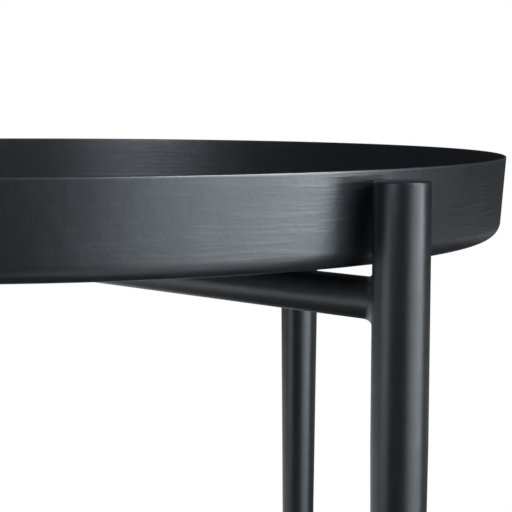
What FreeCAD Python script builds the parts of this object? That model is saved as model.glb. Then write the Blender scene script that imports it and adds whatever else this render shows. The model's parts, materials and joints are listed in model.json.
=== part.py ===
"""Round tray table on a folding frame.

A pressed steel tray with a deep flared wall drops between four round posts and rests on soft pads.
The posts are also the legs. They pair up into two welded frames, each of two legs and a crossbar. The two
crossbars are at one height. Where they cross under the tray, each is pressed to half its depth, one from
below and one from above, and a bolt joins them. The swing frame turns about that bolt, with the tray lifted
off or still in place, until each bar meets the end of the other's pressing and the frames are nearly flat.

Frame: origin on the floor under the middle of the tray, +Z up, -Y the front. Millimetres.
One STEP file is written for each piece.
"""

import FreeCAD
import Part

import math
import os

from FreeCAD import Vector

# Driving dimensions
TABLE_HEIGHT = 525.0  # floor to the top of the tray's rim
TRAY_RADIUS = 220.0  # outside of the rim
TRAY_HEIGHT = 34.0
TRAY_SHEET = 1.0  # thickness of the pressed steel
TRAY_DRAFT = math.radians(4.4)  # lean of the wall, wider at the rim
TRAY_CORNER_RADIUS = 7.0  # outside, where the wall turns into the base
OPEN_ANGLE = 99.3  # between the two frames in use, across the table's left and right sides

LEG_RADIUS = 10.0
LEG_FOOT_RADIUS = 5.5  # where the tapered leg meets its foot
LEG_WALL = 1.2
LEG_TO_RIM = 1.1  # gap between a post and the rim
LEG_BELOW_RIM = 3.5  # the post's flat top stands this much lower than the rim
LEG_STRAIGHT_LENGTH = 94.0  # from the rim's level down, before the taper starts
LEG_EDGE_ROUND = 0.7
CAP_THICKNESS = 2.5

BAR_RADIUS = 7.5
BAR_WALL = 1.2
PAD_HEIGHT = 3.3  # between the top of a bar and the tray
PAD_RADIUS = 5.0
PAD_FROM_AXIS = 170.0
PAD_CLEARANCE = 0.3  # the swing frame's pads pass under the tray by this much
PAD_EDGE_ROUND = 0.5
PAD_STEM_RADIUS = 2.0
PAD_BARB_RADIUS = 2.5
PAD_BARB_LENGTH = 3.0
PAD_BARB_DROP = 0.8  # below the bar's inner wall

SEAT_HALF_LENGTH = 42.0  # of the flat that is pressed into each bar at the crossing
SEAT_SLOPE = math.radians(40.0)  # of the pressing's ends
SEAT_BEND_RADIUS = 6.0
SEAT_RUN_OUT = 0.3  # the pressing tool's shoulders stop this far outside the tube

WELD_RADIUS = 5.5
BUSH_RADIUS = 5.5
BUSH_PROUD = 0.5  # past the round side of each bar
BOLT_RADIUS = 3.0
BOLT_LENGTH = 16.0
BOLT_CLEARANCE = 0.05  # round the bolt, in everything that turns on it
BOLT_HEAD_RADIUS = 5.25
BOLT_HEAD_HEIGHT = 3.3
BOLT_HEAD_RIM = 0.4  # height of its plain edge under the dome
BOLT_HEAD_FACE = 2.9  # radius of the flat round the hexagon socket
BOLT_SOCKET_FLATS = 4.0
BOLT_SOCKET_DEPTH = 2.1
BOLT_TIP_CHAMFER = 0.8
FRICTION_WASHER_RADIUS = 7.5
FRICTION_WASHER_HEIGHT = 1.6  # and so the gap between the two pressed flats
FLAT_WASHER_RADIUS = 6.0
FLAT_WASHER_HEIGHT = 1.0
SPRING_RADIUS = 6.25
SPRING_SHEET = 0.6
SPRING_CONE = 0.4  # free height of the cone over its sheet
SMALL_CHAMFER = 0.4

FOOT_HEIGHT = 4.0
FOOT_RADIUS = 6.0
FOOT_CONTACT_RADIUS = 4.6
FOOT_SPIGOT_RADIUS = 4.2
FOOT_SPIGOT_ROOT = 3.6  # between its barbs
FOOT_BARBS = 4
FOOT_BARB_PITCH = 4.0

# Worked out from those
TRAY_BASE = TABLE_HEIGHT - TRAY_HEIGHT
BAR_Z = TRAY_BASE - PAD_HEIGHT - BAR_RADIUS
LEG_AXIS = TRAY_RADIUS + LEG_TO_RIM + LEG_RADIUS  # from the table's axis to a leg's
LEG_TOP = TABLE_HEIGHT - LEG_BELOW_RIM
TAPER_TOP = TABLE_HEIGHT - LEG_STRAIGHT_LENGTH
SEAT_LIFT = FRICTION_WASHER_HEIGHT / 2  # from a bar's middle to its pressed flat
BUSH_TOP = BAR_Z + BAR_RADIUS + BUSH_PROUD
BUSH_BOTTOM = BAR_Z + SEAT_LIFT
SLEEVE_TOP = BAR_Z - SEAT_LIFT
SLEEVE_BOTTOM = BAR_Z - BAR_RADIUS - BUSH_PROUD
FLAT_WASHER_BOTTOM = SLEEVE_BOTTOM - FLAT_WASHER_HEIGHT
SPRING_BOTTOM = FLAT_WASHER_BOTTOM - SPRING_SHEET - SPRING_CONE

# Each frame is made along X and then turned: its first leg is at +X, its second at -X.
FRAMES = {
    "fixed": {"turn": -OPEN_ANGLE / 2, "legs": ("front_right", "back_left")},
    "swing": {"turn": OPEN_ANGLE / 2, "legs": ("back_right", "front_left")},
}
UP = Vector(0, 0, 1)
ALONG = Vector(1, 0, 0)
FAR = 60.0  # past the end of whatever is cut


def line(a, b):
    return Part.LineSegment(Vector(*a), Vector(*b)).toShape()


def arc(a, middle, b):
    return Part.Arc(Vector(*a), Vector(*middle), Vector(*b)).toShape()


def lathe(points):
    """A solid of revolution about Z from a closed outline of (radius, height) points."""
    corners = [(r, 0, z) for r, z in points]
    edges = [line(a, b) for a, b in zip(corners, corners[1:] + corners[:1])]
    return Part.Face(Part.Wire(edges)).revolve(Vector(), UP, 360)


def upright(radius, low, high, x=0.0):
    return Part.makeCylinder(radius, high - low, Vector(x, 0, low), UP)


def ring(outer, inner, low, high):
    """A round washer or bush with both rims chamfered outside."""
    c = SMALL_CHAMFER
    outside = [(outer - c, low), (outer, low + c), (outer, high - c), (outer - c, high)]
    return lathe([(inner, low), *outside, (inner, high)])


def tray():
    """The whole pressing: base, flared wall, and a rim left as the sheet's own rounded edge."""
    half = TRAY_SHEET / 2
    up = Vector(math.sin(TRAY_DRAFT), 0, math.cos(TRAY_DRAFT))
    out = Vector(math.cos(TRAY_DRAFT), 0, -math.sin(TRAY_DRAFT))
    rim = Vector(TRAY_RADIUS - half, 0, TABLE_HEIGHT - half)
    middle_radius = TRAY_CORNER_RADIUS - half
    corner_z = TRAY_BASE + TRAY_CORNER_RADIUS
    wall = (rim.z + middle_radius * math.sin(TRAY_DRAFT) - corner_z) / math.cos(TRAY_DRAFT)
    corner = rim - up * wall - out * middle_radius
    slant = (math.pi / 2 + TRAY_DRAFT) / 2
    bisector = Vector(math.cos(slant), 0, -math.sin(slant))
    outer, inner = TRAY_CORNER_RADIUS, TRAY_CORNER_RADIUS - TRAY_SHEET
    base_out = (corner.x, 0, TRAY_BASE)
    base_in = (corner.x, 0, TRAY_BASE + TRAY_SHEET)
    edges = [
        line((0, 0, TRAY_BASE), base_out),
        arc(base_out, corner + bisector * outer, corner + out * outer),
        line(corner + out * outer, rim + out * half),
        arc(rim + out * half, rim + up * half, rim - out * half),
        line(rim - out * half, corner + out * inner),
        arc(corner + out * inner, corner + bisector * inner, base_in),
        line(base_in, (0, 0, TRAY_BASE + TRAY_SHEET)),
        line((0, 0, TRAY_BASE + TRAY_SHEET), (0, 0, TRAY_BASE)),
    ]
    return Part.Face(Part.Wire(edges)).revolve(Vector(), UP, 360)


def leg():
    """One tube, straight past the tray and the crossbar and then tapering to its foot."""
    edge = LEG_EDGE_ROUND
    outline = lathe(
        [
            (LEG_FOOT_RADIUS - LEG_WALL, FOOT_HEIGHT),
            (LEG_FOOT_RADIUS, FOOT_HEIGHT),
            (LEG_RADIUS, TAPER_TOP),
            (LEG_RADIUS, LEG_TOP),
            (LEG_RADIUS - LEG_WALL, LEG_TOP),
            (LEG_RADIUS - LEG_WALL, TAPER_TOP),
        ]
    )
    top_edge = [
        e
        for e in outline.Edges
        if isinstance(e.Curve, Part.Circle)
        and abs(e.Curve.Center.z - LEG_TOP) < 1e-6
        and abs(e.Curve.Radius - LEG_RADIUS) < 1e-6
    ]
    return outline.makeFillet(edge, top_edge)


def leg_cap():
    """The disc that closes the post, flush with its top."""
    return upright(LEG_RADIUS - LEG_WALL, LEG_TOP - CAP_THICKNESS, LEG_TOP)


def foot():
    """A plastic glide with a barbed spigot that is pushed up the leg."""
    outline = [(0, 0), (FOOT_CONTACT_RADIUS, 0), (FOOT_RADIUS, 1.2), (FOOT_RADIUS, FOOT_HEIGHT - 0.5)]
    outline += [(FOOT_RADIUS - 0.5, FOOT_HEIGHT), (FOOT_SPIGOT_ROOT, FOOT_HEIGHT)]
    for n in range(FOOT_BARBS):
        low = FOOT_HEIGHT + n * FOOT_BARB_PITCH
        outline.append((FOOT_SPIGOT_ROOT, low + 1.0))
        outline.append((FOOT_SPIGOT_RADIUS, low + 1.0))
        outline.append((FOOT_SPIGOT_ROOT, low + FOOT_BARB_PITCH))
    outline.append((0, FOOT_HEIGHT + FOOT_BARBS * FOOT_BARB_PITCH))
    return lathe(outline)


def bent_path(corners, bend_radius):
    """A wire of straight runs with a tangent arc at each corner between them."""
    edges, start = [], Vector(*corners[0])
    for before, corner, after in zip(corners, corners[1:], corners[2:]):
        corner = Vector(*corner)
        back = (Vector(*before) - corner).normalize()
        on = (Vector(*after) - corner).normalize()
        half_turn = (math.pi - back.getAngle(on)) / 2
        tangent = bend_radius * math.tan(half_turn)
        inward = (back + on).normalize()
        crown = corner + inward * (bend_radius / math.cos(half_turn) - bend_radius)
        edges.append(line(start, corner + back * tangent))
        edges.append(arc(corner + back * tangent, crown, corner + on * tangent))
        start = corner + on * tangent
    edges.append(line(start, corners[-1]))
    return Part.Wire(edges)


def seat():
    """The section along a bar of what is pressed out of its underside at the crossing."""
    shoulder = -BAR_RADIUS - SEAT_RUN_OUT
    low = shoulder - FAR
    end = SEAT_HALF_LENGTH + (SEAT_LIFT - shoulder) / math.tan(SEAT_SLOPE)
    far = end + FAR
    right = [(SEAT_HALF_LENGTH, 0, SEAT_LIFT), (end, 0, shoulder), (far, 0, shoulder)]
    left = [(-x, y, z) for x, y, z in reversed(right)]
    below = [(far, 0, shoulder), (far, 0, low), (-far, 0, low), (-far, 0, shoulder)]
    top = bent_path(left + right, SEAT_BEND_RADIUS)
    return Part.Face(Part.Wire(top.Edges + [line(a, b) for a, b in zip(below, below[1:])]))


def pressed_tube():
    """A straight tube along X, centred on the origin, with its seat pressed up from below."""
    across = Vector(0, 2 * FAR, 0)
    rods = []
    for wall, section in ((0, seat()), (BAR_WALL, seat().makeOffset2D(BAR_WALL))):
        rod = Part.makeCylinder(BAR_RADIUS - wall, 2 * LEG_AXIS, Vector(-LEG_AXIS, 0, 0), ALONG)
        section.translate(across * -0.5)
        rods.append(rod.cut(section.extrude(across)))
    return rods[0].cut(rods[1])


def crossbar(over):
    """A tube saddle-cut to both legs and drilled for its bush or sleeve and for two pad stems."""
    bar = pressed_tube()
    if not over:
        bar.rotate(Vector(), ALONG, 180)
    bar.translate(UP * BAR_Z)
    tools = [upright(LEG_RADIUS, BAR_Z - FAR, BAR_Z + FAR, x) for x in (-LEG_AXIS, LEG_AXIS)]
    tools += [upright(PAD_STEM_RADIUS, BAR_Z, BAR_Z + FAR, x) for x in (-PAD_FROM_AXIS, PAD_FROM_AXIS)]
    tools.append(upright(BUSH_RADIUS, BAR_Z - FAR, BAR_Z + FAR))
    for tool in tools:
        bar = bar.cut(tool)
    return bar


def weld():
    """The bead round the joint of the crossbar and the leg at +X: a concave fillet, less the two tubes."""
    post = upright(LEG_RADIUS, BAR_Z - FAR, BAR_Z + FAR, LEG_AXIS)
    bar = Part.makeCylinder(BAR_RADIUS, FAR, Vector(LEG_AXIS - FAR, 0, BAR_Z), ALONG)
    joined = post.fuse(bar)
    seam = [e for e in joined.Edges if not isinstance(e.Curve, (Part.Circle, Part.Line))]
    return joined.makeFillet(WELD_RADIUS, seam).cut(post).cut(bar)


def tray_pad(gap):
    """A rubber button that sits astride the crossbar at +X, with a barbed stem through its top wall."""
    top = TRAY_BASE - gap
    head = upright(PAD_RADIUS, BAR_Z, top)
    rim = [e for e in head.Edges if isinstance(e.Curve, Part.Circle) and e.Curve.Center.z > top - 1e-6]
    head = head.makeFillet(PAD_EDGE_ROUND, rim)
    head = head.cut(Part.makeCylinder(BAR_RADIUS, 2 * FAR, Vector(-FAR, 0, BAR_Z), ALONG))
    barb_low = BAR_Z + BAR_RADIUS - BAR_WALL - PAD_BARB_DROP - PAD_BARB_LENGTH
    barb = Part.makeCone(PAD_STEM_RADIUS / 2, PAD_BARB_RADIUS, PAD_BARB_LENGTH, Vector(0, 0, barb_low))
    stem = upright(PAD_STEM_RADIUS, barb_low + PAD_BARB_LENGTH / 2, top - PAD_HEIGHT / 2)
    pad = head.fuse(stem).fuse(barb).removeSplitter()
    pad.translate(Vector(PAD_FROM_AXIS, 0, 0))
    return pad


def hexagon(across_flats, z):
    corner = across_flats / 2 / math.cos(math.pi / 6)
    angles = [n * math.pi / 3 for n in range(6)]
    corners = [(corner * math.cos(angle), corner * math.sin(angle), z) for angle in angles]
    return Part.Face(Part.Wire([line(a, b) for a, b in zip(corners, corners[1:] + corners[:1])]))


def pivot_bolt():
    """The bolt the frames turn on, put in from below: a domed socket head and a plain shank."""
    seat_z = SPRING_BOTTOM
    face_z = seat_z - BOLT_HEAD_HEIGHT
    tip_z = seat_z + BOLT_LENGTH
    face_edge = Vector(BOLT_HEAD_FACE, 0, face_z)
    rim = Vector(BOLT_HEAD_RADIUS, 0, seat_z - BOLT_HEAD_RIM)
    rise = rim.z - face_z
    centre_z = face_z + (rim.x**2 - face_edge.x**2 + rise**2) / (2 * rise)
    centre = Vector(0, 0, centre_z)
    dome_radius = (rim - centre).Length
    dome_middle = centre + ((rim - centre) + (face_edge - centre)).normalize() * dome_radius
    shank = [
        rim,
        (BOLT_HEAD_RADIUS, 0, seat_z),
        (BOLT_RADIUS, 0, seat_z),
        (BOLT_RADIUS, 0, tip_z - BOLT_TIP_CHAMFER),
        (BOLT_RADIUS - BOLT_TIP_CHAMFER, 0, tip_z),
        (0, 0, tip_z),
        (0, 0, face_z),
        face_edge,
    ]
    edges = [arc(face_edge, dome_middle, rim)] + [line(a, b) for a, b in zip(shank, shank[1:])]
    body = Part.Face(Part.Wire(edges)).revolve(Vector(), UP, 360)
    return body.cut(hexagon(BOLT_SOCKET_FLATS, face_z).extrude(UP * BOLT_SOCKET_DEPTH))


def disc_spring():
    """A coned spring washer: wide rim against the flat washer, narrow rim on the bolt's head."""
    inner = BOLT_RADIUS + 2 * BOLT_CLEARANCE
    low = SPRING_BOTTOM
    return lathe(
        [
            (inner, low),
            (SPRING_RADIUS, low + SPRING_CONE),
            (SPRING_RADIUS, low + SPRING_CONE + SPRING_SHEET),
            (inner, low + SPRING_SHEET),
        ]
    )


def turned(shape, degrees):
    copy = shape.copy()
    copy.rotate(Vector(), UP, degrees)
    return copy


def at_leg(shape):
    """A piece made on the Z axis, moved to the leg at +X."""
    copy = shape.copy()
    copy.translate(Vector(LEG_AXIS, 0, 0))
    return copy


def frame_pieces(kind):
    """The legs of one frame with all that is fixed to them, and its crossbar."""
    turn, names = FRAMES[kind]["turn"], FRAMES[kind]["legs"]
    pad = tray_pad(0.0 if kind == "fixed" else PAD_CLEARANCE)
    at_positive_x = {
        "leg": at_leg(leg()),
        "leg_cap": at_leg(leg_cap()),
        "foot": at_leg(foot()),
        "weld": weld(),
        "tray_pad": pad,
    }
    pieces = {}
    for name, half_turn in zip(names, (0, 180)):
        for piece, shape in at_positive_x.items():
            pieces[f"{piece}_{name}"] = turned(shape, turn + half_turn)
    over = kind == "fixed"
    pieces["crossbar_over" if over else "crossbar_under"] = turned(crossbar(over), turn)
    return pieces


def pivot_pieces():
    turning = BOLT_RADIUS + BOLT_CLEARANCE
    return {
        "pivot_bush": ring(BUSH_RADIUS, BOLT_RADIUS, BUSH_BOTTOM, BUSH_TOP),
        "pivot_sleeve": ring(BUSH_RADIUS, turning, SLEEVE_BOTTOM, SLEEVE_TOP),
        "friction_washer": ring(FRICTION_WASHER_RADIUS, turning, SLEEVE_TOP, BUSH_BOTTOM),
        "flat_washer": ring(FLAT_WASHER_RADIUS, turning, FLAT_WASHER_BOTTOM, SLEEVE_BOTTOM),
        "disc_spring": disc_spring(),
        "pivot_bolt": pivot_bolt(),
    }


def main():
    pieces = {"tray": tray(), **frame_pieces("fixed"), **frame_pieces("swing"), **pivot_pieces()}
    os.makedirs("parts", exist_ok=True)
    for name, shape in pieces.items():
        if not shape.isValid() or len(shape.Solids) != 1:
            raise ValueError(f"{name} is not one valid solid")
        shape.Solids[0].exportStep(f"parts/{name}.step")
        print(f"{name}: {shape.Volume / 1000:.2f} cm3")


main()
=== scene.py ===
import json
import math

import bmesh
import bpy
from mathutils import Matrix, Vector, noise


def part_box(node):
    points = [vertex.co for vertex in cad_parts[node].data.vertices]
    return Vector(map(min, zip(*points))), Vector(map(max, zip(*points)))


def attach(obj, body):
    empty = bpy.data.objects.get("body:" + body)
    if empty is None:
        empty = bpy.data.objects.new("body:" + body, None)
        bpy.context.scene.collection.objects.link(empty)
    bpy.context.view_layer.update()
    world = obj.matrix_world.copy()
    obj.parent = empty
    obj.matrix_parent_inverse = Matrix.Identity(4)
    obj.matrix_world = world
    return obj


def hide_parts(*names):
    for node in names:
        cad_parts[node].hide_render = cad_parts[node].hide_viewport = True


# The looks of a round tray table on a folding frame. Metres, in the CAD model's own frame.
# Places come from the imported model. The sizes below repeat its dimensions, or are too fine to be in it.

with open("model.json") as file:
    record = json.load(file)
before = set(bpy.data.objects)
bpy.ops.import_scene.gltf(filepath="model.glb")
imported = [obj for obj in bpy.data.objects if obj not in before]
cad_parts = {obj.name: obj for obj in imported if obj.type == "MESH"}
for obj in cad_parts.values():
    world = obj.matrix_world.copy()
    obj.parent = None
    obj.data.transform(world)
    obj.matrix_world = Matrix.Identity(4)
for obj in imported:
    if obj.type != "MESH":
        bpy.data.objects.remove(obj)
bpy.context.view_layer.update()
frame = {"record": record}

SHEET = 0.001
TRAY_DRAFT = math.radians(4.4)
TRAY_CORNER = 0.007
TRAY_FLOOR_WAVE = 0.00012  # how far the pressed floor is out of flat
TRAY_FLOOR_WAVE_SCALE = 16
TRAY_WALL_WAVE = 0.00005
TRAY_WALL_WAVE_SCALE = 14
RIM_POLISH = 2.0  # how much glossier the tray's top edge is than its wall
RIM_POLISH_START = 0.001  # below the rim
RIM_POLISH_FULL = 0.0004  # below the rim

LEG_RADIUS = 0.010
LEG_FOOT_RADIUS = 0.0055
LEG_STRAIGHT = 0.0905  # from a leg's top down to where its taper starts
LEG_TAPER_ROUNDING = 0.05  # where the straight part meets the taper
LEG_WALL = 0.0012
LEG_EDGE = 0.0007
LEG_FOOT_EDGE = 0.0003
CAP_EDGE = 0.00004  # of the fine seam between a leg and its closing disc
CAP_LOWER_EDGE = 0.0002

FOOT_RADIUS = 0.006
FOOT_BEVEL_HEIGHT = 0.0014
FOOT_CONTACT_RADIUS = 0.0046
FOOT_ROUNDING = 0.0007
FOOT_GATE_RADIUS = 0.0013  # of the moulding mark underneath
FOOT_GATE_DEPTH = 0.0004
SPIGOT_RADIUS = 0.0036
SPIGOT_BARB_RADIUS = 0.0042
SPIGOT_BARB_LAND = 0.001  # from the start of each barb up to its step
SPIGOT_BARBS = 4

BAR_RADIUS = 0.0075
BAR_IN_LEG = 0.0003  # how far a bar's cut end lies inside the leg's surface
BAR_CORE_IN_LEG = 0.0025
BAR_SADDLE_RUN = 0.0005  # from the last full section to the leg
SEAT_HALF_LENGTH = 0.042
SEAT_LIFT = 0.0008
SEAT_SLOPE = math.radians(40)
SEAT_BEND = BAR_RADIUS * 0.8
SEAT_RUN_OUT = 0.022  # past the seat's end, to where the bar is whole again
SEAT_SOFTNESS = 0.0011  # width of the rounding where a bar is pressed flat

WELD_RADIUS = 0.0053
WELD_RIPPLE = 0.00005
WELD_RIPPLES = 28  # round each bead
WELD_SUNK = 0.0004  # how far a bead's hidden side lies inside its tubes

PAD_RADIUS = 0.005
PAD_EDGE = 0.0006
PAD_DISH_RADIUS = 0.0018
PAD_DISH_DEPTH = 0.0001
PAD_SUNK = 0.0002  # how far the pad's underside lies inside the tube's surface
PAD_CORE_SUNK = 0.001

BOLT_SHANK = 0.003
BOLT_CLEARANCE = 0.00005  # round the shank, in what turns on it
BOLT_HEAD_FACE = 0.0029
BOLT_HEAD_HEIGHT = 0.0033
BOLT_HEAD_EDGE = 0.0004
BOLT_END_CHAMFER = 0.0006
BOLT_SOCKET = 0.002  # half its width across flats
BOLT_SOCKET_DEPTH = 0.0021
BOLT_SOCKET_CONE = 0.0008  # the drill point's depth past the socket's walls
BOLT_SOCKET_CHAMFER = 0.00012
RUNNING_GAP = 0.00001  # taken off each face of the rings that slide on one another
SPRING_THICKNESS = 0.0006
LOOSE_BORE = BOLT_SHANK + BOLT_CLEARANCE
SPRING_BORE = BOLT_SHANK + 2 * BOLT_CLEARANCE

ON_AXIS = 1e-7
NEARLY_STRAIGHT = math.pi / 2 - 0.001
SEGMENTS = 96  # round the legs and what is turned

FIXED_LEGS = ("front_right", "back_left")
SWING_LEGS = ("back_right", "front_left")
BODIES = frame["record"]["behaviour"]["bodies"]
BODY_OF = {name: body for body, names in BODIES.items() for name in names}


# Mesh helpers


def fillet(before, corner, after, radius, steps):
    """Points round one corner of an outline, from tangent to tangent."""
    back = (before - corner).normalized()
    on = (after - corner).normalized()
    half = back.angle(on) / 2
    if radius <= 0 or half > NEARLY_STRAIGHT:
        return [corner]
    centre = corner + (back + on).normalized() * (radius / math.sin(half))
    start = corner + back * (radius / math.tan(half)) - centre
    end = corner + on * (radius / math.tan(half)) - centre
    turn = start.angle(end)
    points = []
    for n in range(steps + 1):
        t = n / steps
        blend = start * math.sin((1 - t) * turn) + end * math.sin(t * turn)
        points.append(centre + blend / math.sin(turn))
    return points


def outline(corners, steps=6, longest=0.02, closed=False):
    """An outline from (radius, height, rounding) corners, with its long runs divided."""
    places = [Vector(corner[:2]) for corner in corners]
    points = []
    for n, place in enumerate(places):
        if closed or 0 < n < len(places) - 1:
            after = places[(n + 1) % len(places)]
            points += fillet(places[n - 1], place, after, corners[n][2], steps)
        else:
            points.append(place)
    ends = points[1:] + points[:1] if closed else points[1:]
    divided = []
    for a, b in zip(points, ends):
        parts = max(1, math.ceil((b - a).length / longest))
        divided += [a.lerp(b, n / parts) for n in range(parts)]
    return divided if closed else divided + [points[-1]]


def ring(radius, height, segments, centre=(0, 0)):
    """One ring of a lathed shape, or its single point where it meets the axis."""
    if radius < ON_AXIS:
        return [Vector((centre[0], centre[1], height))]
    points = []
    for n in range(segments):
        turn = 2 * math.pi * n / segments
        x, y = centre[0] + radius * math.cos(turn), centre[1] + radius * math.sin(turn)
        points.append(Vector((x, y, height)))
    return points


def loft(rings, joined=False):
    """Vertices and faces through rings of equal count. A ring of one point is a pole."""
    vertices = [point for r in rings for point in r]
    starts = [0]
    for r in rings:
        starts.append(starts[-1] + len(r))
    pairs = list(zip(range(len(rings)), range(1, len(rings))))
    if joined:
        pairs.append((len(rings) - 1, 0))
    faces = []
    for low, high in pairs:
        count = max(len(rings[low]), len(rings[high]))
        for n in range(count):
            corners = []
            for which, k in ((low, n), (low, n + 1), (high, n + 1), (high, n)):
                vertex = starts[which] + k % len(rings[which])
                if vertex not in corners:
                    corners.append(vertex)
            faces.append(corners)
    return vertices, faces


def lathe(points, segments, centre=(0, 0), joined=False):
    """Turns an outline of (radius, height) round an upright axis."""
    return loft([ring(p[0], p[1], segments, centre) for p in points], joined)


def piece(shape, nodes, coat, sharp=32):
    """A finished piece that stands for its CAD nodes, on their body."""
    mesh = bpy.data.meshes.new(f"{nodes[0]}_finished")
    mesh.from_pydata(shape[0], [], shape[1])
    work = bmesh.new()
    work.from_mesh(mesh)
    bmesh.ops.recalc_face_normals(work, faces=work.faces)
    work.to_mesh(mesh)
    work.free()
    mesh.shade_smooth()
    mesh.set_sharp_from_angle(angle=math.radians(sharp))
    mesh.materials.append(coat)
    made = bpy.data.objects.new(mesh.name, mesh)
    bpy.context.scene.collection.objects.link(made)
    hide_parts(*nodes)
    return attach(made, BODY_OF[nodes[0]])


def axis_of(node_name):
    """The point on the floor under the middle of a CAD node."""
    low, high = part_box(node_name)
    return Vector(((low.x + high.x) / 2, (low.y + high.y) / 2))


# Materials


def material(name, colour, roughness, metallic=0.0):
    """A new material with its node tree and its shader."""
    made = bpy.data.materials.new(name)
    made.use_nodes = True
    shader = made.node_tree.nodes["Principled BSDF"]
    shader.inputs["Base Color"].default_value = (*colour, 1)
    shader.inputs["Roughness"].default_value = roughness
    shader.inputs["Metallic"].default_value = metallic
    return made, made.node_tree, shader


def node(tree, kind, **inputs):
    """A new node of a kind, with its inputs' values. An underscore stands for a space."""
    made = tree.nodes.new(kind)
    for name, value in inputs.items():
        made.inputs[name.replace("_", " ")].default_value = value
    return made


def noise_value(tree, scale, detail, stretch=(1, 1, 1)):
    """Noise in the object's own space, so that it stays on the piece at every pose."""
    place = tree.nodes.new("ShaderNodeTexCoord")
    mapping = node(tree, "ShaderNodeMapping", Scale=stretch)
    texture = node(tree, "ShaderNodeTexNoise", Scale=scale, Detail=detail)
    tree.links.new(place.outputs["Object"], mapping.inputs["Vector"])
    tree.links.new(mapping.outputs["Vector"], texture.inputs["Vector"])
    return texture.outputs["Fac"]


def map_range(tree, value, low, high, from_low=0.3, from_high=0.7):
    """Turns a value's range into low to high. Noise lies mostly between 0.3 and 0.7."""
    made = node(tree, "ShaderNodeMapRange")
    limits = {"From Min": from_low, "From Max": from_high, "To Min": low, "To Max": high}
    for name, number in limits.items():
        made.inputs[name].default_value = number
    tree.links.new(value, made.inputs["Value"])
    return made.outputs["Result"]


def multiplied(tree, first, second):
    product = tree.nodes.new("ShaderNodeMath")
    product.operation = "MULTIPLY"
    tree.links.new(first, product.inputs[0])
    tree.links.new(second, product.inputs[1])
    return product.outputs["Value"]


def mix_colours(tree, share, first, second):
    made = tree.nodes.new("ShaderNodeMix")
    made.data_type = "RGBA"
    made.inputs["A"].default_value = (*first, 1)
    made.inputs["B"].default_value = (*second, 1)
    tree.links.new(share, made.inputs["Factor"])
    return made.outputs["Result"]


def bumps(tree, shader, layers):
    """Stacks bump layers of (height, distance in metres) on the shader."""
    normal = None
    for height, distance in layers:
        bump = node(tree, "ShaderNodeBump", Strength=1.0, Distance=distance)
        tree.links.new(height, bump.inputs["Height"])
        if normal is not None:
            tree.links.new(normal, bump.inputs["Normal"])
        normal = bump.outputs["Normal"]
    tree.links.new(normal, shader.inputs["Normal"])


def polished_rim(tree, gloss, rim):
    """Raises the gloss on the top edge of the tray, where hands rub it."""
    place = tree.nodes.new("ShaderNodeTexCoord")
    split = tree.nodes.new("ShaderNodeSeparateXYZ")
    tree.links.new(place.outputs["Object"], split.inputs["Vector"])
    start, full = rim - RIM_POLISH_START, rim - RIM_POLISH_FULL
    raised = map_range(tree, split.outputs["Z"], 1.0, RIM_POLISH, start, full)
    return multiplied(tree, gloss, raised)


def powder_coat(name, roughness, shine, streaks):
    """Satin black powder coat: orange peel, soft dimples, and rubbed streaks along a pressed wall."""
    made, tree, shader = material(name, (0.0075, 0.009, 0.0112), roughness)
    shader.inputs["IOR"].default_value = 1.8
    shader.inputs["Specular Tint"].default_value = (0.83, 0.925, 1.0, 1)
    cloud = noise_value(tree, 14, 2)
    dark, light = (0.0066, 0.008, 0.01), (0.0084, 0.0102, 0.0126)
    tree.links.new(mix_colours(tree, cloud, dark, light), shader.inputs["Base Color"])
    patch = noise_value(tree, 45, 3)
    tree.links.new(map_range(tree, patch, roughness - 0.025, roughness + 0.025), shader.inputs["Roughness"])
    dimple = noise_value(tree, 160, 2)
    peel = noise_value(tree, 520, 1.5)
    grain = noise_value(tree, 2600, 2)
    layers = [(dimple, 0.0001), (peel, 0.00003), (grain, 0.000004)]
    rubbed = dimple
    if streaks:
        streak = map_range(tree, noise_value(tree, 40, 4, (1, 1, 16)), 0, 1, 0.48, 0.72)
        where = map_range(tree, noise_value(tree, 9, 1), 0.25, 1, 0.45, 0.6)
        rubbed = multiplied(tree, streak, where)
        layers.append((rubbed, 0.00004))
    gloss = map_range(tree, rubbed, shine * 0.93, shine * 1.12, 0, 1)
    if streaks:
        gloss = polished_rim(tree, gloss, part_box("tray")[1].z)
    tree.links.new(gloss, shader.inputs["Specular IOR Level"])
    bumps(tree, shader, layers)
    return made


def moulded(name, colour, roughness, grain_scale, grain_height):
    """Moulded plastic or rubber with a fine grain."""
    made, tree, shader = material(name, colour, roughness)
    cloud = noise_value(tree, 90, 2)
    lighter = tuple(c * 1.25 for c in colour)
    tree.links.new(mix_colours(tree, cloud, colour, lighter), shader.inputs["Base Color"])
    grain = noise_value(tree, grain_scale, 2)
    tree.links.new(map_range(tree, grain, roughness - 0.05, roughness + 0.05), shader.inputs["Roughness"])
    bumps(tree, shader, [(grain, grain_height)])
    return made


def plated_steel():
    """Bright zinc plating, turned in fine rings and slightly cloudy."""
    made, tree, shader = material("plated_steel", (0.62, 0.63, 0.66), 0.28, metallic=1.0)
    cloud = noise_value(tree, 400, 3)
    dark, light = (0.52, 0.53, 0.57), (0.7, 0.71, 0.73)
    tree.links.new(mix_colours(tree, cloud, dark, light), shader.inputs["Base Color"])
    tree.links.new(map_range(tree, noise_value(tree, 900, 2), 0.2, 0.36), shader.inputs["Roughness"])
    place = tree.nodes.new("ShaderNodeTexCoord")
    rings = node(tree, "ShaderNodeTexWave", Scale=900.0, Distortion=1.5, Detail=2.0)
    rings.wave_type = "RINGS"
    rings.rings_direction = "Z"
    tree.links.new(place.outputs["Object"], rings.inputs["Vector"])
    bumps(tree, shader, [(rings.outputs["Fac"], 0.000004)])
    return made


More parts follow.
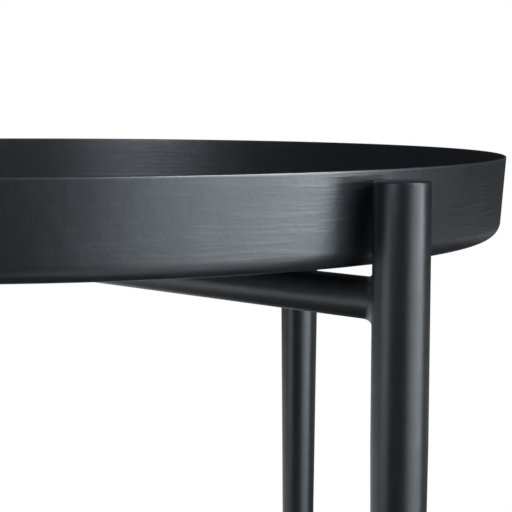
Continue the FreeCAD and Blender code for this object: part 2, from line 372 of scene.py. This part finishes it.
TRAY_COAT = powder_coat("tray_coat", roughness=0.36, shine=0.86, streaks=True)
FRAME_COAT = powder_coat("frame_coat", roughness=0.34, shine=0.6, streaks=False)
FOOT_PLASTIC = moulded("foot_plastic", (0.012, 0.012, 0.012), 0.5, 1800, 0.00001)
PAD_RUBBER = moulded("pad_rubber", (0.02, 0.02, 0.02), 0.7, 1200, 0.00002)
WASHER_NYLON = moulded("washer_nylon", (0.6, 0.57, 0.48), 0.45, 700, 0.000006)
PLATED_STEEL = plated_steel()


# Pieces


def tray():
    """The pressed tray as one closed shell, with the slight waves of a real pressing."""
    low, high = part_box("tray")
    half = SHEET / 2
    edge = half * 0.98  # almost a full round
    up = Vector((math.sin(TRAY_DRAFT), math.cos(TRAY_DRAFT)))
    out = Vector((math.cos(TRAY_DRAFT), -math.sin(TRAY_DRAFT)))
    rim = Vector((high.x - half, high.z - half))
    floor_top = low.z + SHEET
    top_out = rim + (up + out) * half
    top_in = rim + (up - out) * half
    base_out = top_out - up * ((top_out.y - low.z) / up.y)
    base_in = top_in - up * ((top_in.y - floor_top) / up.y)
    corners = [
        (0, low.z, 0),
        (*base_out, TRAY_CORNER),
        (*top_out, edge),
        (*top_in, edge),
        (*base_in, TRAY_CORNER - SHEET),
        (0, floor_top, 0),
    ]
    vertices, faces = lathe(outline(corners, steps=14, longest=0.009), segments=480)
    flat_radius = base_out.x - TRAY_CORNER * 2
    for v in vertices:
        radius = math.hypot(v.x, v.y)
        flat = max(0.0, 1 - (radius / flat_radius) ** 4)
        v.z += TRAY_FLOOR_WAVE * flat * noise.noise(Vector((v.x, v.y, 0)) * TRAY_FLOOR_WAVE_SCALE)
        if radius > flat_radius:
            rise = max(0.0, (v.z - low.z - TRAY_CORNER) / (high.z - low.z))
            bow = rise * (1 - rise) * 4
            inward = bow * TRAY_WALL_WAVE * (noise.noise(v * TRAY_WALL_WAVE_SCALE) - 1)
            v.x += inward * v.x / radius
            v.y += inward * v.y / radius
    piece((vertices, faces), ["tray"], TRAY_COAT)


def leg(place):
    """The tapered tube and the disc that closes its top, as two pieces."""
    centre = axis_of(f"leg_cap_{place}")
    low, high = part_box(f"leg_{place}")
    inner = LEG_RADIUS - LEG_WALL
    taper_top = high.z - LEG_STRAIGHT
    tube = [
        (LEG_FOOT_RADIUS - LEG_WALL, low.z, 0.0002),
        (LEG_FOOT_RADIUS, low.z, LEG_FOOT_EDGE),
        (LEG_RADIUS, taper_top, LEG_TAPER_ROUNDING),
        (LEG_RADIUS, high.z, LEG_EDGE),
        (inner, high.z, CAP_EDGE),
        (inner, taper_top, 0),
    ]
    shape = lathe(outline(tube, steps=7, longest=0.03, closed=True), SEGMENTS, centre, joined=True)
    piece(shape, [f"leg_{place}"], FRAME_COAT)
    cap_low, cap_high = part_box(f"leg_cap_{place}")
    cap = [
        (0, cap_low.z, 0),
        (inner, cap_low.z, CAP_LOWER_EDGE),
        (inner, cap_high.z, CAP_EDGE),
        (0, cap_high.z, 0),
    ]
    shape = lathe(outline(cap, steps=3, longest=0.003), SEGMENTS, centre)
    piece(shape, [f"leg_cap_{place}"], FRAME_COAT)


def foot(place):
    """A moulded glide: a domed puck with a gate mark underneath, and a barbed spigot up inside the leg."""
    centre = axis_of(f"leg_cap_{place}")
    low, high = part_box(f"foot_{place}")
    base = low.z
    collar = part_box(f"leg_{place}")[0].z
    gate = base + FOOT_GATE_DEPTH
    corners = [
        (0, gate, 0),
        (FOOT_GATE_RADIUS, gate, 0.0001),
        (FOOT_GATE_RADIUS + 0.0003, base, 0.0001),
        (FOOT_CONTACT_RADIUS, base, FOOT_ROUNDING),
        (FOOT_RADIUS, base + FOOT_BEVEL_HEIGHT, FOOT_ROUNDING),
        (FOOT_RADIUS, collar, 0.0004),
        (SPIGOT_RADIUS, collar, 0),
    ]
    pitch = (high.z - collar) / SPIGOT_BARBS
    for n in range(SPIGOT_BARBS):
        z = collar + n * pitch
        step = z + SPIGOT_BARB_LAND
        corners.append((SPIGOT_RADIUS, step, 0))
        corners.append((SPIGOT_BARB_RADIUS, step, 0.0001))
        corners.append((SPIGOT_RADIUS, z + pitch, 0))
    corners.append((0, high.z, 0))
    shape = lathe(outline(corners, steps=5), 72, centre)
    piece(shape, [f"foot_{place}"], FOOT_PLASTIC)


def seat_height(x):
    """How far above a bar's middle its underside is pressed, at a distance along the bar."""
    run = Vector((SEAT_HALF_LENGTH, SEAT_LIFT))
    end = run + Vector((math.cos(SEAT_SLOPE), -math.sin(SEAT_SLOPE))) * BAR_RADIUS * 3
    bend = fillet(Vector((0, SEAT_LIFT)), run, end, SEAT_BEND, 8)
    points = [Vector((-1, SEAT_LIFT)), *bend, end, Vector((1, end.y))]
    for a, b in zip(points, points[1:]):
        if a.x <= abs(x) <= b.x:
            return a.y + (b.y - a.y) * (abs(x) - a.x) / (b.x - a.x)
    return end.y


def crossbar(node_name, legs, pressed_side, segments=80):
    """A tube between two legs, pressed to half its depth in the middle and saddle-cut to each leg."""
    ends = [axis_of(f"leg_cap_{place}") for place in legs]
    along = (ends[0] - ends[1]).normalized()
    across = Vector((-along.y, along.x))
    half_length = (ends[0] - ends[1]).length / 2
    low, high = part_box(node_name)
    middle = (low.z + high.z) / 2
    plain_end = half_length - LEG_RADIUS - BAR_SADDLE_RUN
    seat_end = SEAT_HALF_LENGTH + SEAT_RUN_OUT
    stations = [seat_end * n / 44 for n in range(45)]
    stations += [seat_end + (plain_end - seat_end) * n / 10 for n in range(1, 11)]
    stations = [-x for x in reversed(stations[1:])] + stations

    def section(x, saddle=0):
        """The bar's outline at x along it, or its end there, cut to the leg's curve."""
        points = []
        for n in range(segments):
            angle = 2 * math.pi * n / segments
            y, z = BAR_RADIUS * math.sin(angle), BAR_RADIUS * math.cos(angle)
            gap = z - seat_height(x)
            if gap < BAR_RADIUS:
                z += (math.hypot(gap, SEAT_SOFTNESS) - gap) / 2
            reach = x
            if saddle:
                reach = saddle * (half_length - math.sqrt(LEG_RADIUS**2 - y * y) + BAR_IN_LEG)
            flat = along * reach + across * y
            points.append(Vector((flat.x, flat.y, middle + pressed_side * z)))
        return points

    inside = half_length - LEG_RADIUS + BAR_CORE_IN_LEG
    rings = [[Vector((*(along * -inside), middle))], section(-plain_end, -1)]
    rings += [section(x) for x in stations]
    rings += [section(plain_end, 1), [Vector((*(along * inside), middle))]]
    piece(loft(rings), [node_name], FRAME_COAT)


def weld(place, steps=144, arc_steps=10):
    """The bead where a crossbar meets a leg: a concave fillet with the faint ripple of its making."""
    centre = axis_of(f"leg_cap_{place}")
    along = centre.normalized()
    across = Vector((-along.y, along.x))
    low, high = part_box("crossbar_over")
    middle = (low.z + high.z) / 2
    seed = (FIXED_LEGS + SWING_LEGS).index(place)
    rings = []
    for n in range(steps):
        angle = 2 * math.pi * n / steps
        y, z = math.sin(angle), math.cos(angle)
        wander = noise.noise(Vector((2 * y, 2 * z, seed * 7.3)))
        ripple = math.sin(WELD_RIPPLES * angle + seed) + 2 * wander
        radius = WELD_RADIUS + WELD_RIPPLE * ripple
        grown = BAR_RADIUS + radius
        reach = math.sqrt((LEG_RADIUS + radius) ** 2 - (grown * y) ** 2)
        ball = Vector((-reach, grown * y, grown * z))
        to_bar = Vector((0, -y, -z))
        to_leg = Vector((reach, -grown * y, 0)).normalized()
        section = [ball + to_bar.slerp(to_leg, k / arc_steps) * radius for k in range(arc_steps + 1)]
        on_bar, on_leg = section[0], section[-1]
        under_leg = Vector((on_leg.x, on_leg.y, 0)) * (1 - WELD_SUNK / LEG_RADIUS)
        under_bar = (BAR_RADIUS - WELD_SUNK) / BAR_RADIUS
        section.append(Vector((under_leg.x, under_leg.y, on_leg.z)))
        root = -math.sqrt(LEG_RADIUS**2 - (BAR_RADIUS * y) ** 2) + WELD_SUNK
        section.append(Vector((root, BAR_RADIUS * y * under_bar, BAR_RADIUS * z * under_bar)))
        section.append(Vector((on_bar.x, on_bar.y * under_bar, on_bar.z * under_bar)))
        placed = []
        for point in section:
            flat = centre + along * point.x + across * point.y
            placed.append(Vector((flat.x, flat.y, middle + point.z)))
        rings.append(placed)
    piece(loft(rings, joined=True), [f"weld_{place}"], FRAME_COAT, sharp=50)


def tray_pad(place, segments=48):
    """A rubber button astride the crossbar, its underside cut to the tube."""
    node_name = f"tray_pad_{place}"
    centre = axis_of(node_name)
    across = Vector((-centre.y, centre.x)).normalized()
    low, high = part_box(node_name)
    bar_low, bar_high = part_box("crossbar_over")
    middle = (bar_low.z + bar_high.z) / 2
    corners = [
        (0, high.z - PAD_DISH_DEPTH, 0),
        (PAD_DISH_RADIUS, high.z, 0.0004),
        (PAD_RADIUS, high.z, PAD_EDGE),
        (PAD_RADIUS, middle, 0),
    ]
    rings = [ring(r, z, segments, centre) for r, z in outline(corners, steps=5)[:-1]]
    skirt = ring(PAD_RADIUS, middle, segments, centre)
    for point in skirt:
        y = (Vector(point[:2]) - centre).dot(across)
        point.z += math.sqrt(BAR_RADIUS**2 - y * y) - PAD_SUNK
    rings += [skirt, [Vector((*centre, middle + BAR_RADIUS - PAD_CORE_SUNK))]]
    piece(loft(rings), [node_name], PAD_RUBBER)


def turned_ring(node_name, inner, chamfer, coat):
    """A washer, bush or sleeve round the pivot axis, with broken edges."""
    low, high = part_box(node_name)
    outer = (high.x - low.x) / 2
    bottom, top = low.z + RUNNING_GAP, high.z - RUNNING_GAP
    corners = [
        (inner, bottom, chamfer / 2),
        (outer, bottom, chamfer),
        (outer, top, chamfer),
        (inner, top, chamfer / 2),
    ]
    shape = lathe(outline(corners, steps=4, closed=True), SEGMENTS, joined=True)
    piece(shape, [node_name], coat)


def disc_spring():
    """The coned spring washer under the bolt's head."""
    low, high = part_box("disc_spring")
    outer = (high.x - low.x) / 2
    corners = [
        (SPRING_BORE, low.z, 0.0001),
        (outer, high.z - SPRING_THICKNESS, 0.00015),
        (outer, high.z, 0.00015),
        (SPRING_BORE, low.z + SPRING_THICKNESS, 0.0001),
    ]
    shape = lathe(outline(corners, steps=4, closed=True), SEGMENTS, joined=True)
    piece(shape, ["disc_spring"], PLATED_STEEL)


def pivot_bolt(segments=SEGMENTS):
    """A button-head bolt, head down: a domed head, a chamfered hexagon socket, and the shank."""
    low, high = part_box("pivot_bolt")
    head_radius = (high.x - low.x) / 2
    seat_z = low.z + BOLT_HEAD_HEIGHT

    def hexagon(grow, z):
        """The socket's outline, as a ring with as many points as the head's rings."""
        points = []
        for n in range(segments):
            angle = 2 * math.pi * n / segments
            off_flat = (angle + math.pi / 6) % (math.pi / 3) - math.pi / 6
            radius = BOLT_SOCKET / math.cos(off_flat) + grow
            points.append(Vector((radius * math.cos(angle), radius * math.sin(angle), z)))
        return points

    bottom = low.z + BOLT_SOCKET_DEPTH
    rings = [
        [Vector((0, 0, bottom + BOLT_SOCKET_CONE))],
        hexagon(-0.0001, bottom),
        hexagon(0, bottom - 0.0002),
        hexagon(0, low.z + 0.0003),
        hexagon(BOLT_SOCKET_CHAMFER, low.z + 0.0001),
        ring(BOLT_HEAD_FACE - 0.0002, low.z, segments),
    ]
    rise = BOLT_HEAD_HEIGHT - BOLT_HEAD_EDGE
    depth = (head_radius**2 - BOLT_HEAD_FACE**2 + rise**2) / (2 * rise)
    dome = math.hypot(head_radius, depth - rise)
    start, end = math.atan2(BOLT_HEAD_FACE, depth), math.atan2(head_radius, depth - rise)
    for n in range(13):
        angle = start + (end - start) * n / 12
        rings.append(ring(dome * math.sin(angle), low.z + depth - dome * math.cos(angle), segments))
    shank = [
        (head_radius, seat_z - BOLT_HEAD_EDGE, 0),
        (head_radius, seat_z, 0.0001),
        (BOLT_SHANK, seat_z, 0.0002),
        (BOLT_SHANK, high.z, BOLT_END_CHAMFER),
        (0, high.z, 0),
    ]
    rings += [ring(r, z, segments) for r, z in outline(shank, steps=4)[1:]]
    piece(loft(rings), ["pivot_bolt"], PLATED_STEEL, sharp=25)


# Stage, light and camera

FLOOR_RADIUS = 1.1
CAMERA_DISTANCE = 0.717  # on the level, from the tray's axis
CAMERA_OVER_RIM = 0.0254
CAMERA_AZIMUTH = math.radians(4.91)  # to the right of straight in front
CAMERA_HEADING = math.radians(4.1)  # to the right of straight ahead
CAMERA_TILT = math.radians(5.74)
CAMERA_ROLL = math.radians(0.18)
CAMERA_LENS = 112.75


def floor():
    """A round of white paper. The coat mirrors the reflectors on it, not the paper itself."""
    made, tree, shader = material("floor_paper", (0.86, 0.86, 0.86), 0.9)
    shader.inputs["Specular IOR Level"].default_value = 0.0
    grain = noise_value(tree, 300, 2)
    bumps(tree, shader, [(grain, 0.00002)])
    vertices, faces = loft([[Vector((0, 0, 0))], ring(FLOOR_RADIUS, 0, 128)])
    mesh = bpy.data.meshes.new("floor")
    mesh.from_pydata(vertices, [], faces)
    mesh.materials.append(made)
    ground = bpy.data.objects.new("floor", mesh)
    ground.visible_glossy = False
    bpy.context.scene.collection.objects.link(ground)


def studio(backdrop, surroundings):
    """A plain white backdrop in every view, in a dim room."""
    made = bpy.data.worlds.new("studio")
    made.use_nodes = True
    tree = made.node_tree
    background = tree.nodes["Background"]
    seen = tree.nodes.new("ShaderNodeLightPath")
    strength = map_range(tree, seen.outputs["Is Camera Ray"], surroundings, backdrop, 0, 1)
    background.inputs["Color"].default_value = (1, 1, 1, 1)
    tree.links.new(strength, background.inputs["Strength"])
    bpy.context.scene.world = made


def softbox(name, azimuth, distance, low, high, width, radiance):
    """An upright panel of light that stands round the table and faces it. Azimuth 0 is the front."""
    turn = math.radians(azimuth)
    place = (distance * math.sin(turn), -distance * math.cos(turn), (low + high) / 2)
    return panel(name, place, (math.pi / 2, 0, turn), width, high - low, radiance)


def reflector(name, azimuth, near, far, width, radiance):
    """A panel of light that lies on the floor, from near to far out from the table."""
    turn = math.radians(azimuth)
    middle = (near + far) / 2
    place = (middle * math.sin(turn), -middle * math.cos(turn), 0.003)
    return panel(name, place, (math.pi, 0, turn), width, far - near, radiance)


def panel(name, place, rotation, width, height, radiance):
    """An even rectangle of light, hidden from the camera. Its power is set by how bright its face is."""
    light = bpy.data.lights.new(name, "AREA")
    light.shape = "RECTANGLE"
    light.size = width
    light.size_y = height
    light.energy = radiance * math.pi * width * height
    lamp = bpy.data.objects.new(name, light)
    lamp.location = place
    lamp.rotation_euler = rotation
    lamp.visible_camera = False
    bpy.context.scene.collection.objects.link(lamp)
    return lamp


def camera():
    """A long lens a little above the rim, looking slightly down at the right half of the tray."""
    data = bpy.data.cameras.new("camera")
    data.lens = CAMERA_LENS
    made = bpy.data.objects.new("camera", data)
    bpy.context.scene.collection.objects.link(made)
    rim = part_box("tray")[1].z
    place = Vector((math.sin(CAMERA_AZIMUTH), -math.cos(CAMERA_AZIMUTH), 0)) * CAMERA_DISTANCE
    place.z = rim + CAMERA_OVER_RIM
    turn = Matrix.Rotation(-CAMERA_HEADING, 4, "Z") @ Matrix.Rotation(math.pi / 2 - CAMERA_TILT, 4, "X")
    made.matrix_world = Matrix.Translation(place) @ turn @ Matrix.Rotation(CAMERA_ROLL, 4, "Z")
    bpy.context.scene.camera = made


tray()
for place in FIXED_LEGS + SWING_LEGS:
    leg(place)
    foot(place)
    weld(place)
    tray_pad(place)
crossbar("crossbar_over", FIXED_LEGS, 1)
crossbar("crossbar_under", SWING_LEGS, -1)
turned_ring("pivot_bush", BOLT_SHANK, 0.0004, FRAME_COAT)
turned_ring("pivot_sleeve", LOOSE_BORE, 0.0004, FRAME_COAT)
turned_ring("friction_washer", LOOSE_BORE, 0.0003, WASHER_NYLON)
turned_ring("flat_washer", LOOSE_BORE, 0.0002, PLATED_STEEL)
disc_spring()
pivot_bolt()

floor()
studio(backdrop=1.0, surroundings=0.03)
softbox("key_edge", azimuth=29, distance=1.5, low=0.0, high=0.5, width=0.36, radiance=0.9)
softbox("key_left", azimuth=42.5, distance=1.5, low=0.05, high=0.5, width=0.4, radiance=1.6)
softbox("key", azimuth=64, distance=1.5, low=0.05, high=0.5, width=0.8, radiance=2.3)
softbox("key_core", azimuth=69, distance=1.5, low=0.38, high=0.65, width=0.42, radiance=3.2)
softbox("key_upper", azimuth=56, distance=1.5, low=0.5, high=1.1, width=1.2, radiance=1.3)
softbox("key_high", azimuth=58, distance=1.5, low=1.1, high=2.0, width=1.2, radiance=5.5)
reflector("key_reflector", azimuth=57.5, near=0.7, far=1.4, width=0.95, radiance=1.0)
reflector("near_reflector", azimuth=50, near=0.3, far=0.7, width=0.7, radiance=0.35)
reflector("right_reflector", azimuth=125, near=1.6, far=3.6, width=2.4, radiance=0.27)
softbox("fill", azimuth=-64, distance=1.5, low=0.0, high=0.55, width=0.9, radiance=1.05)
softbox("fill_upper", azimuth=-35, distance=1.5, low=0.7, high=1.2, width=0.7, radiance=2.1)
reflector("back_reflector", azimuth=-135, near=0.5, far=2.5, width=3.0, radiance=0.7)
# The ceiling lights the coat without a reflection of its own in the tray's floor.
ceiling = panel("top", (0, 0, 2.4), (0, 0, 0), width=3.0, height=3.0, radiance=3.8)
ceiling.visible_glossy = False
camera()
bpy.context.scene.view_settings.view_transform = "Standard"
